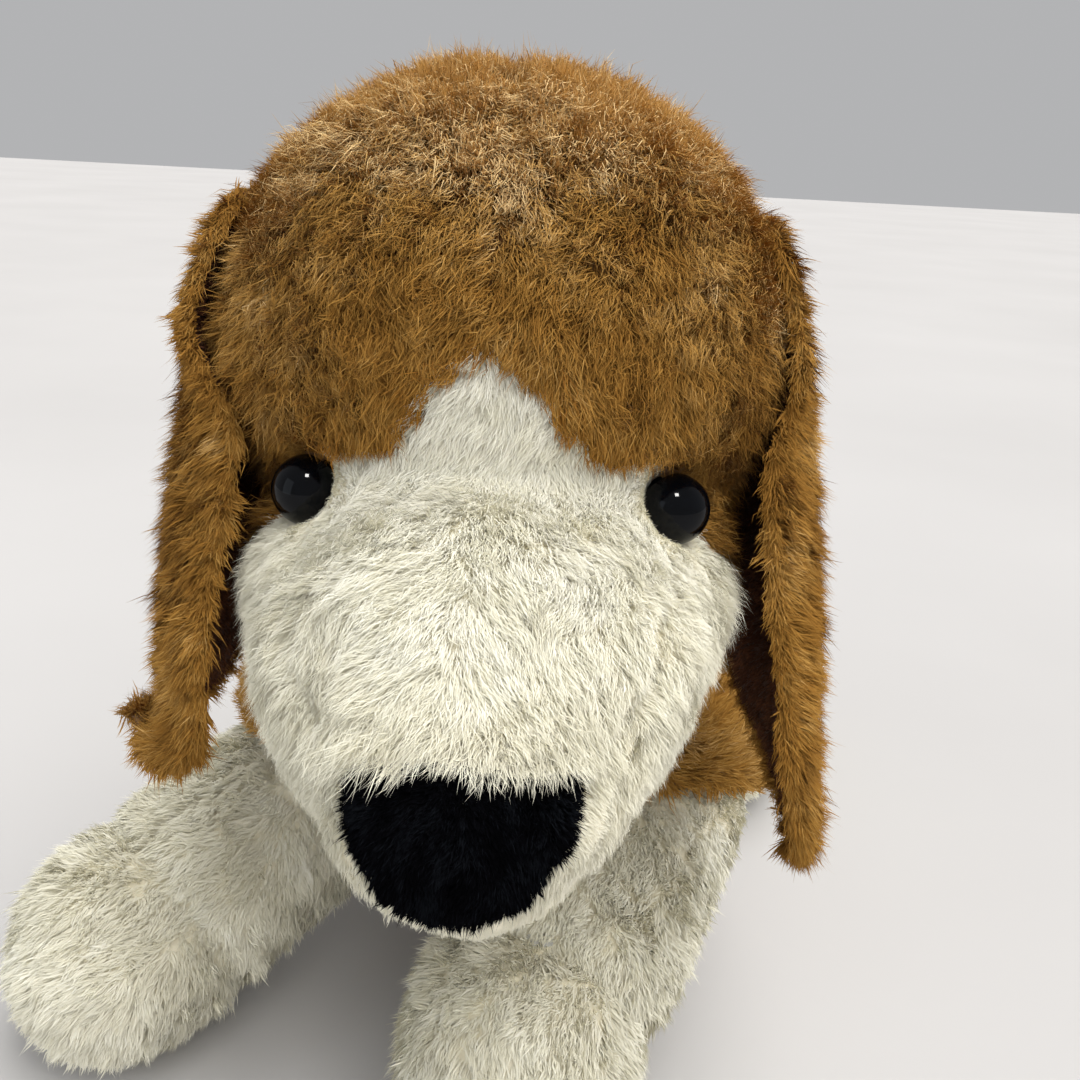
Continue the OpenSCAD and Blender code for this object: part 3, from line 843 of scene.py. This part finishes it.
def ear_shape(drop):
    """Front and back edges of an ear against height, from three circles' outline."""
    w = 21.0
    circles = [(-3, 10, 15), (-21, w + 8 - drop, w), (-23, 12 - drop, 12)]
    a = np.linspace(0, 2 * np.pi, 61)[:-1]
    pts = np.concatenate([np.stack([y + r * np.cos(a), z + r * np.sin(a)], 1) for y, z, r in circles])
    z = np.linspace(pts[:, 1].max() - 0.05, pts[:, 1].min() + 0.05, 60)
    i, j = np.meshgrid(np.arange(len(pts)), np.arange(len(pts)), indexing="ij")
    a0, a1 = pts[i.ravel()], pts[j.ravel()]
    ok = a1[:, 1] - a0[:, 1] > 1e-6
    a0, a1 = a0[ok], a1[ok]
    lo, hi = [], []
    for zz in z:
        m = (a0[:, 1] <= zz) & (a1[:, 1] >= zz)
        t = (zz - a0[m, 1]) / (a1[m, 1] - a0[m, 1])
        y = a0[m, 0] + t * (a1[m, 0] - a0[m, 0])
        lo.append(y.min())
        hi.append(y.max())
    return z, np.array(lo), np.array(hi)


def smooth_line(points, count):
    """Evenly spaced points on a line with its corners rounded."""
    pts = np.array(points, float)
    s = np.concatenate([[0], np.cumsum(np.linalg.norm(np.diff(pts, axis=0), axis=1))])
    t = np.linspace(0, s[-1], 400)
    fine = np.stack([np.interp(t, s, pts[:, k]) for k in (0, 1)], 1)
    reach = 14
    start, stop = 2 * fine[0] - fine[reach:0:-1], 2 * fine[-1] - fine[-2:-reach - 2:-1]
    padded = np.concatenate([start, fine, stop])
    kernel = np.ones(2 * reach + 1) / (2 * reach + 1)
    fine = np.stack([np.convolve(padded[:, k], kernel, "valid") for k in (0, 1)], 1)
    return fine[np.linspace(0, 399, count).astype(int)], s[-1]


def ear(side, end, drop, tuck, phase, cups, out):
    """A cloth layer of an ear: a flat pattern hung along the line, cupped towards the head."""
    z, front, back = ear_shape(drop)
    line, total = smooth_line(EAR_SEAM + end, EAR_ROWS)
    s = np.linspace(0, total, EAR_ROWS)
    v = np.sin(np.linspace(-1, 1, EAR_COLUMNS) * math.pi / 2)
    top = EAR_SEAM[0][1] + 1
    flat_z = np.clip(top - s * (top + drop) / total, z.min(), z.max())
    f, b = np.interp(-flat_z, -z, front), np.interp(-flat_z, -z, back)
    mid, half = (f + b) / 2, (b - f) / 2
    along = unit(np.gradient(line, axis=0))
    nx, nz = -along[:, 1], along[:, 0]
    x = line[:, 0] + nx * (2.05 - tuck * smooth(-12, 14, line[:, 1]))
    zz = line[:, 1] + nz * 2.05
    low = smooth(4, -18, zz)[:, None]
    cup = np.where(v < 0, cups[0], cups[1])[None, :] * (v ** 2)[None, :] * low
    cup = cup * (1 - 0.7 * smooth(total - 30, total, s))[:, None]
    wave = 1.1 * np.sin(s[:, None] / 15 + 2.2 * v[None, :] + phase) * smooth(20, 60, s)[:, None]
    edge = np.sqrt(np.clip(1 - np.abs(v) ** 6, 0, 1))[None, :] * np.sqrt(
        np.clip(1 - np.maximum(s / total * 2 - 1, 0) ** 12, 0, 1))[:, None]

    gx = x[:, None] - cup + wave + out * smooth(22, 4, zz)[:, None]
    gy = mid[:, None] + half[:, None] * v[None, :]
    gz = np.broadcast_to(zz[:, None], gx.shape)
    # it lies on the head's pile, not in it
    for _ in range(3):
        at = HEAD + np.stack([side * gx, gy, gz], -1).reshape(-1, 3)
        gx = gx + np.maximum(1.8 - head_form(at).reshape(gx.shape), 0) * smooth(14, 2, gz)

    def layer(t):
        return np.stack([HEAD[0] + side * (gx + nx[:, None] * t * edge), HEAD[1] + gy,
                         HEAD[2] + gz + nz[:, None] * t * edge], -1)

    return layer


def grid_faces(nu, nv):
    i, j = np.meshgrid(np.arange(nu - 1), np.arange(nv - 1), indexing="ij")
    k = (i * nv + j).ravel()
    return np.stack([k, k + 1, k + nv + 1, k + nv], 1)


# The brown pile of the ears, the torso and the tail.
SHAG = dict(tuft_pull=0.5, wild=0.4, frizz=0.2)


def ear_pile_length(h, base):
    """Longer below the seam, and longest at the tip."""
    return base + 0.7 * smooth(12, -13, h[:, 2]) + 0.4 * smooth(-62, -76, h[:, 2])


def ear_pieces(side, name, end, drop, tuck, cups, out, seed):
    layer = ear(side, end, drop, tuck, seed, cups, out)
    faces = grid_faces(EAR_ROWS, EAR_COLUMNS)
    for kind, t, mat, slot in (("outer", 0.7, *BROWN),
                               ("lining", -0.7, CLOTH_LINING, "ear_lining")):
        pts = layer(t).reshape(-1, 3)
        outward = vertex_normals(pts, triangles(faces))[:, 0].mean() * side > 0
        quads = faces if outward == (kind == "outer") else faces[:, ::-1]
        dress(mesh_object(f"cloth_{name}_{kind}", pts, quads), name, f"{name}_{kind}", mat, 0.6)
        density = 3.2 if kind == "outer" else 2.2
        p, n = scatter(pts, triangles(quads), density * FUR, seed + (kind == "outer"))
        h = p - HEAD
        flow = combed(n, [side * 0.1, -0.1, -1.0]) + drift(p, 0.3, 0.3)
        tone = 0.6 * TONE(p) + 0.4 * TONE2(p)
        if kind == "outer":
            keep = ~((h[:, 2] > 12) & (head_form(p) < 0))
            length = ear_pile_length(h, 3.6)
            pile(f"pile_{name}_outer", name, p[keep], n[keep], length[keep], flow[keep], 0.95, 0.22,
                 BROWN_PILE, tone[keep] - 1.5, seed=seed + 5, tuft=2.8, **SHAG)
        else:
            pile(f"pile_{name}_lining", name, p, n, 1.3, flow, 0.8, 0.22, LINING_PILE, tone,
                 seed=seed + 6, slot=slot, tuft=1.6, tuft_pull=0.3, blades=4, wild=0.3)
    # pile that turns round the ear's free edge
    middle = layer(0.0)
    rim = np.concatenate([middle[:, 0], middle[-1, :], middle[::-1, -1]])
    centre = middle[:, EAR_COLUMNS // 2]
    seg = np.linalg.norm(np.diff(rim, axis=0), axis=1)
    r = np.random.default_rng(seed + 9)
    count = int(seg.sum() * 14 * FUR)
    pick = np.minimum(np.searchsorted(np.cumsum(seg), r.random(count) * seg.sum()), len(seg) - 1)
    t = r.random(count)[:, None]
    p = rim[pick] * (1 - t) + rim[pick + 1] * t
    tree = search_tree(centre)
    out = unit(p - np.array([tree.find(q)[0] for q in p.tolist()]))
    n = unit(out + np.array([side * 0.9, 0, 0]) * r.uniform(-0.35, 1.0, (count, 1)))
    flow = np.tile([0.0, 0.0, -1.0], (count, 1)) + drift(p, 0.2, 0.3)
    h = p - HEAD
    keep = (h[:, 2] < 8) | (head_form(p) > 0.3)
    length = ear_pile_length(h, 3.0)
    pile(f"pile_{name}_edge", name, p[keep], n[keep], length[keep], flow[keep], 0.75, 0.22,
         BROWN_PILE, (0.5 * TONE(p) - 1.5)[keep], seed=seed + 7, wild=0.4, frizz=0.2)


ear_pieces(1, "ear_left", [(62, -93)], 97, 1.2, (6.5, 9.0), -0.5, 400)
ear_pieces(-1, "ear_right", CURL, 81, -0.8, (11.0, 8.0), 0.3, 420)


# ------------ neck, torso, tail

def plain_skin(name, body, node, pts, quads, mat, slot, fill=0.8):
    used, back = np.unique(quads, return_inverse=True)
    ob = mesh_object(name, pts[used], back.reshape(quads.shape))
    dress(ob, body, node, mat, SKIN_T)


def neck_pieces():
    pts, quads = shell(lambda q: ball(q, NECK, NECK_R), NECK, (NECK_R,) * 3, 18)
    plain_skin("skin_neck", "neck", "neck_skin", pts, quads, *BROWN)
    p, n = scatter(pts, triangles(quads), 0.8 * FUR, 501)
    keep = (head_form(p + n * 1.5) > -4) & (torso_form(p + n * 1.5) > -4)
    p, n = p[keep], n[keep]
    flow = combed(n, [0, 0.4, -1.0]) + drift(p, 0.3, 0.3)
    pile("pile_neck", "neck", p, n, 3.6, flow, 0.9, 0.48, BROWN_PILE, 0.5 * TONE(p) - 0.3, seed=502,
         tuft=3)


SEAM_Z = 44.0      # of the seam round the torso


def torso_pieces():
    pts, quads = surface_net(torso_form, (-100, -145, -6), (100, 80, 126), 2.5)
    upper = pts[quads].mean(1)[:, 2] > SEAM_Z
    shared = np.intersect1d(quads[upper], quads[~upper])
    pts[shared, 2] = SEAM_Z
    for part, chosen in (("back_panel", upper), ("belly_panel", ~upper)):
        plain_skin("skin_" + part, "torso", part, pts, quads[chosen], *BROWN)
    torso_pile(pts, triangles(quads))


def torso_pile(pts, tris):
    p, n = scatter(pts, tris, 1.7 * FUR, 511)
    chest = (p[:, 1] < -50) & (p[:, 2] > 22)      # the part seen beside the head has finer pile
    leg = np.min([leg_form(k, p, grow=0.6) for k in LEGS], 0)
    pocket = np.min([leg_sweep(k, p, GAP + 0.8) for k in LEGS], 0)
    keep = (leg > 0) & (ball(p, NECK, NECK_R + GAP + 1) > 0) & ~((p[:, 2] < 1.5) & (n[:, 2] < -0.5))
    keep &= (tail_sweep(p) > 0.8) & (RNG.random(len(p)) < np.where(chest, 1.0, 0.38))
    width = np.where(chest, 0.30, 0.52)[keep]
    p, n, leg, pocket = p[keep], n[keep], leg[keep], pocket[keep]
    flow = combed(n, turned((0, 1.0, -0.35), YAW)) + drift(p, 0.35, 0.3)
    length = np.where(pocket < 0.4, 2.8, 4.6) * np.clip(0.45 + leg / 6, 0.45, 1)
    length = length * (1 - 0.35 * bell(p[:, 2] - SEAM_Z, 1.6))
    under = smooth(14, 2, p[:, 2])
    length = length * (1 - 0.5 * under)
    for node, q in (("back_panel", p[:, 2] > SEAM_Z), ("belly_panel", p[:, 2] <= SEAM_Z)):
        pile("pile_" + node, "torso", p[q], n[q], length[q], flow[q], 0.95, width[q], BROWN_PILE,
             (0.55 * TONE(p) + 0.3 * TONE2(p) - 0.5)[q], seed=512 + (node == "back_panel"),
             tuft=3.0, spread=0.6, blades=4, **SHAG)


def tail_pieces():
    axis, middle = tail_dir(0), 22
    centre = JOINT["tail_wag"] + middle * axis
    pts, quads = shell(tail_form, centre, (TAIL_R[0] + abs(axis[0]) * middle, 32, 16), 14)
    plain_skin("skin_tail", "tail", "tail_skin", pts, quads, *BROWN, 0.7)
    p, n = scatter(pts, triangles(quads), 1.6 * FUR, 521)
    keep = torso_form(p) > -1.5
    p, n = p[keep], n[keep]
    flow = combed(n, axis) + drift(p, 0.2, 0.25)
    pile("pile_tail", "tail", p, n, 4.8, flow, 0.95, 0.34, BROWN_PILE, 0.5 * TONE(p), seed=522,
         tuft=2.8, **SHAG)


neck_pieces()
torso_pieces()
tail_pieces()


# ------------ legs

def leg_pieces(name, seed, density, w):
    a, b = LEGS[name]["root"], LEGS[name]["paw"]
    pts, quads = shell(lambda q: leg_skin_form(name, q), (a + b) / 2, np.abs(b - a) / 2 + 24, 30)
    nn = vertex_normals(pts, triangles(quads))
    lump = 0.45 * Waves(seed + 1, 22)(pts) + 0.2 * Waves(seed + 2, 9)(pts)
    pts = pts + nn * np.minimum(lump - 0.3, 0.2)[:, None] * (pts[:, 2] > 1.5)[:, None]
    plain_skin(f"skin_{name}", name, f"{name}_skin", pts, quads, *WHITE)
    p, n = scatter(pts, triangles(quads), density * FUR, seed + 3)
    keep = ~((p[:, 2] < 1.2) & (n[:, 2] < -0.5)) & (torso_form(p) > -2.5)
    others = [k for k in LEGS if k != name]
    keep &= np.min([leg_form(k, p) for k in others], 0) > -1.0
    p, n = p[keep], n[keep]
    flow = unit(combed(n, unit(b - a) + np.array([0, 0, -0.35]))) + drift(p, 0.35, 0.35)
    length = 3.7 * np.clip(0.5 + torso_hull(p) / 10, 0.45, 1)
    length = length * (1 - 0.35 * paw_crease(name, p, 2.2))
    under = smooth(12, 1.5, p[:, 2])
    length = length * (1 - 0.5 * under)
    tone = 0.5 * TONE(p) + 0.45 * TONE2(p) - 0.2
    pile(f"pile_{name}", name, p, n, length, flow, 1.0, w, CREAM_PILE, tone, seed=seed + 4,
         slot="cream_plush", tuft=2.6, tuft_pull=0.6, wild=0.4, frizz=0.24, mottle=0.5)


leg_pieces("front_leg_left", 600, 1.55, 0.28)
leg_pieces("front_leg_right", 620, 1.55, 0.28)
leg_pieces("hind_leg_left", 640, 0.8, 0.45)
leg_pieces("hind_leg_right", 660, 0.8, 0.45)


# ------------ carried-over pieces

def finish_node(node, mat):
    ob = frame["nodes"][node]
    ob.data.materials.clear()
    ob.data.materials.append(mat)


def fibre(name):
    return mottled(name, (0.72, 0.72, 0.70), (0.90, 0.90, 0.88), 60, rough=0.95, bump=0.9, bump_scale=700)


EYE_GLOSS = mottled("eye_gloss", (0.0008, 0.0010, 0.0016), (0.0016, 0.0021, 0.0034), 400, rough=0.06,
                    spec=0.15)
WASHER = mottled("washer_plastic", (0.74, 0.74, 0.71), (0.84, 0.84, 0.82), 300, rough=0.45, bump=0.1)
FIBRE = fibre("polyester_fibre")
COTTON = mottled("bag_cotton", (0.62, 0.55, 0.42), (0.76, 0.70, 0.58), 150, bump=0.7, weave=900)
for side in ("left", "right"):
    finish_node(f"eye_{side}", EYE_GLOSS)
    finish_node(f"eye_washer_{side}", WASHER)
for node in frame["nodes"]:
    if node.endswith("_stuffing"):
        finish_node(node, FIBRE)
finish_node("pellet_bag", COTTON)


def neck_cloth():
    """The head's filling is covered with brown cloth where the neck turns in it."""
    mat = fibre("head_filling")
    add, link = mat.node_tree.nodes.new, mat.node_tree.links.new
    base = mat.node_tree.nodes["Principled BSDF"].inputs["Base Color"]
    plain = base.links[0].from_socket
    away = add("ShaderNodeVectorMath")
    away.operation = "DISTANCE"
    away.inputs[1].default_value = NECK * MM
    link(add("ShaderNodeNewGeometry").outputs["Position"], away.inputs[0])
    near = add("ShaderNodeMath")
    near.operation = "LESS_THAN"
    near.inputs[1].default_value = (NECK_R + GAP + 6) * MM
    link(away.outputs["Value"], near.inputs[0])
    mix = add("ShaderNodeMix")
    mix.data_type = "RGBA"
    mix.inputs["B"].default_value = (0.14, 0.065, 0.020, 1)
    link(near.outputs["Value"], mix.inputs["Factor"])
    link(plain, mix.inputs["A"])
    link(mix.outputs["Result"], base)
    finish_node("head_stuffing", mat)


neck_cloth()
THREAD = mottled("thread", (0.10, 0.05, 0.02), (0.22, 0.12, 0.05), 900, rough=0.7, bump=0.6)
LABEL = mottled("label_satin", (0.72, 0.72, 0.70), (0.88, 0.88, 0.86), 220, rough=0.45, bump=0.5, weave=1500)


def tube(name, line, r, sides=8):
    """A round thread along a line of points."""
    line = np.array(line, float)
    along = unit(np.gradient(line, axis=0))
    u = unit(np.cross(along, [0.0, 0.0, 1.0]) + 1e-6)
    v = np.cross(along, u)
    a = np.linspace(0, 2 * np.pi, sides, endpoint=False)
    cos, sin = np.cos(a)[None, :, None], np.sin(a)[None, :, None]
    ring = line[:, None] + r * (cos * u[:, None] + sin * v[:, None])
    k = np.arange((len(line) - 1) * sides).reshape(-1, sides)
    nxt = np.roll(k, -1, 1)
    quads = np.stack([k, nxt, nxt + sides, k + sides], -1).reshape(-1, 4)
    last = len(line) * sides
    caps = [tuple(range(sides))[::-1], tuple(range(last - sides, last))]
    return mesh_object(name, ring.reshape(-1, 3), [tuple(q) for q in quads.tolist()] + caps)


def closing_stitches():
    """Ladder stitches of one thread over the seam under the tail."""
    count, pitch = 6, 5.0
    line = []

    def rump_y(x, z):
        return RUMP[1] + math.sqrt(RUMP_R ** 2 - x * x - (z - RUMP[2]) ** 2)

    for k in range(count):
        across_seam = (k - (count - 1) / 2) * pitch
        for t in np.linspace(0, 1, 9):
            z = SEAM_Z + (2.4 - 4.8 * t) * (1 if k % 2 else -1)
            x = across_seam + 0.8 * (t - 0.5)
            out = 0.45 * math.sin(math.pi * t) + 0.1
            line.append((x, rump_y(x, z) + out, z))
        for t in (0.33, 0.66):
            x = across_seam + 0.4 + (pitch - 0.8) * t
            z = line[-1][2]
            line.append((x, rump_y(x, z) - 0.25, z))
    ob = tube("stitch_thread", turned(line, YAW), 0.35)
    ob.data.materials.append(THREAD)
    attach(ob, "torso")
    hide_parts("closing_stitches")


def care_label():
    """A blank satin ribbon, folded over and caught in the side seam."""
    reach, height, caught, gap = 17.0, 13.0, 1.2, 0.8
    bend = [(gap / 2 + gap / 2 * math.cos(a), reach - gap / 2 + gap / 2 * math.sin(a))
            for a in np.linspace(np.pi, 0, 7)]
    path = [(0.12 * math.sin(y / 3), y) for y in np.linspace(0, reach - gap, 14)] + bend
    path += [(gap - 0.12 * math.sin(y / 3.4), y) for y in np.linspace(reach - gap, 0, 14)]
    rows = 7
    a = YAW + math.radians(-24)
    c, s = math.cos(a), math.sin(a)
    foot = turned((0, RUMP[1], 0), YAW)
    pts = []
    for x, y in path:
        y2 = y + RUMP_R - caught
        for k in range(rows):
            z = SEAM_Z + height * (k / (rows - 1) - 0.5)
            sway = 0.5 * (y / reach) ** 2 * math.sin(k * 0.9)
            pts.append((foot[0] + (x + sway) * c - y2 * s, foot[1] + (x + sway) * s + y2 * c, z))
    ob = mesh_object("label_ribbon", pts, grid_faces(len(path), rows))
    ob.data.materials.append(LABEL)
    thicken(ob, 0.12)
    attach(ob, "torso")
    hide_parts("care_label")


closing_stitches()
care_label()


# ------------ floor, light, camera

def floor():
    half = 6.0      # metres
    corners = [(-half, -half, 0), (half, -half, 0), (half, half, 0), (-half, half, 0)]
    me = bpy.data.meshes.new("floor")
    me.from_pydata(corners, [], [(0, 1, 2, 3)])
    ob = add_object("floor", me)
    ob.data.materials.append(mottled("floor_paint", (0.53, 0.52, 0.515), (0.56, 0.55, 0.545), 3, rough=1.0,
                                     spec=0.0))


LOOK_AT = Vector((-0.01, -0.10, 0.12))      # the middle of the head and chest, in metres


def add_light(name, kind, power, color, direction):
    light = bpy.data.lights.new(name, kind)
    light.energy = power
    light.color = color
    ob = add_object(name, light)
    ob.rotation_euler = Vector(direction).to_track_quat("-Z", "Y").to_euler()
    return ob


def area_light(name, at, size, power, color, size_y=None):
    ob = add_light(name, "AREA", power, color, LOOK_AT - Vector(at))
    ob.location = at
    ob.data.size = size
    if size_y:
        ob.data.shape = "RECTANGLE"
        ob.data.size_y = size_y
    return ob


def sun(name, direction, angle, strength, color):
    ob = add_light(name, "SUN", strength, color, direction)
    ob.data.angle = math.radians(angle)
    ob.visible_glossy = False


def studio_world():
    world = bpy.data.worlds.new("studio")
    world.use_nodes = True
    background = world.node_tree.nodes["Background"]
    background.inputs["Color"].default_value = (0.80, 0.805, 0.82, 1)
    background.inputs["Strength"].default_value = 0.56
    bpy.context.scene.world = world
    bpy.context.scene.view_settings.view_transform = "Standard"


def camera():
    data = bpy.data.cameras.new("camera")
    data.lens = 36
    data.sensor_width = 36
    data.clip_start = 0.01
    data.clip_end = 50
    cam = add_object("camera", data)
    turn = Matrix.Rotation(math.radians(70), 4, "X") @ Matrix.Rotation(math.radians(3), 4, "Z")
    cam.matrix_world = Matrix.Translation(Vector((-7.5, -325, 205)) * MM) @ turn
    return cam


floor()
sun("ceiling", (-0.32, -0.05, -1.0), 55, 2.1, (1.0, 0.98, 0.95))
sun("key", (-0.22, 0.52, -0.82), 50, 1.5, (1.0, 0.985, 0.96))
sun("front", (-0.40, 0.85, -0.30), 70, 0.22, (1.0, 0.98, 0.96))
area_light("window", (-0.95, -0.75, 0.45), 0.6, 1.3, (0.80, 0.90, 1.0), 0.8)
# the lamp shows only in reflections, as the highlight in the eyes
lamp = area_light("lamp", (0.03, -0.60, 1.05), 0.18, 8.0, (1.0, 0.98, 0.95))
lamp.visible_diffuse = False
studio_world()
bpy.context.scene.camera = camera()
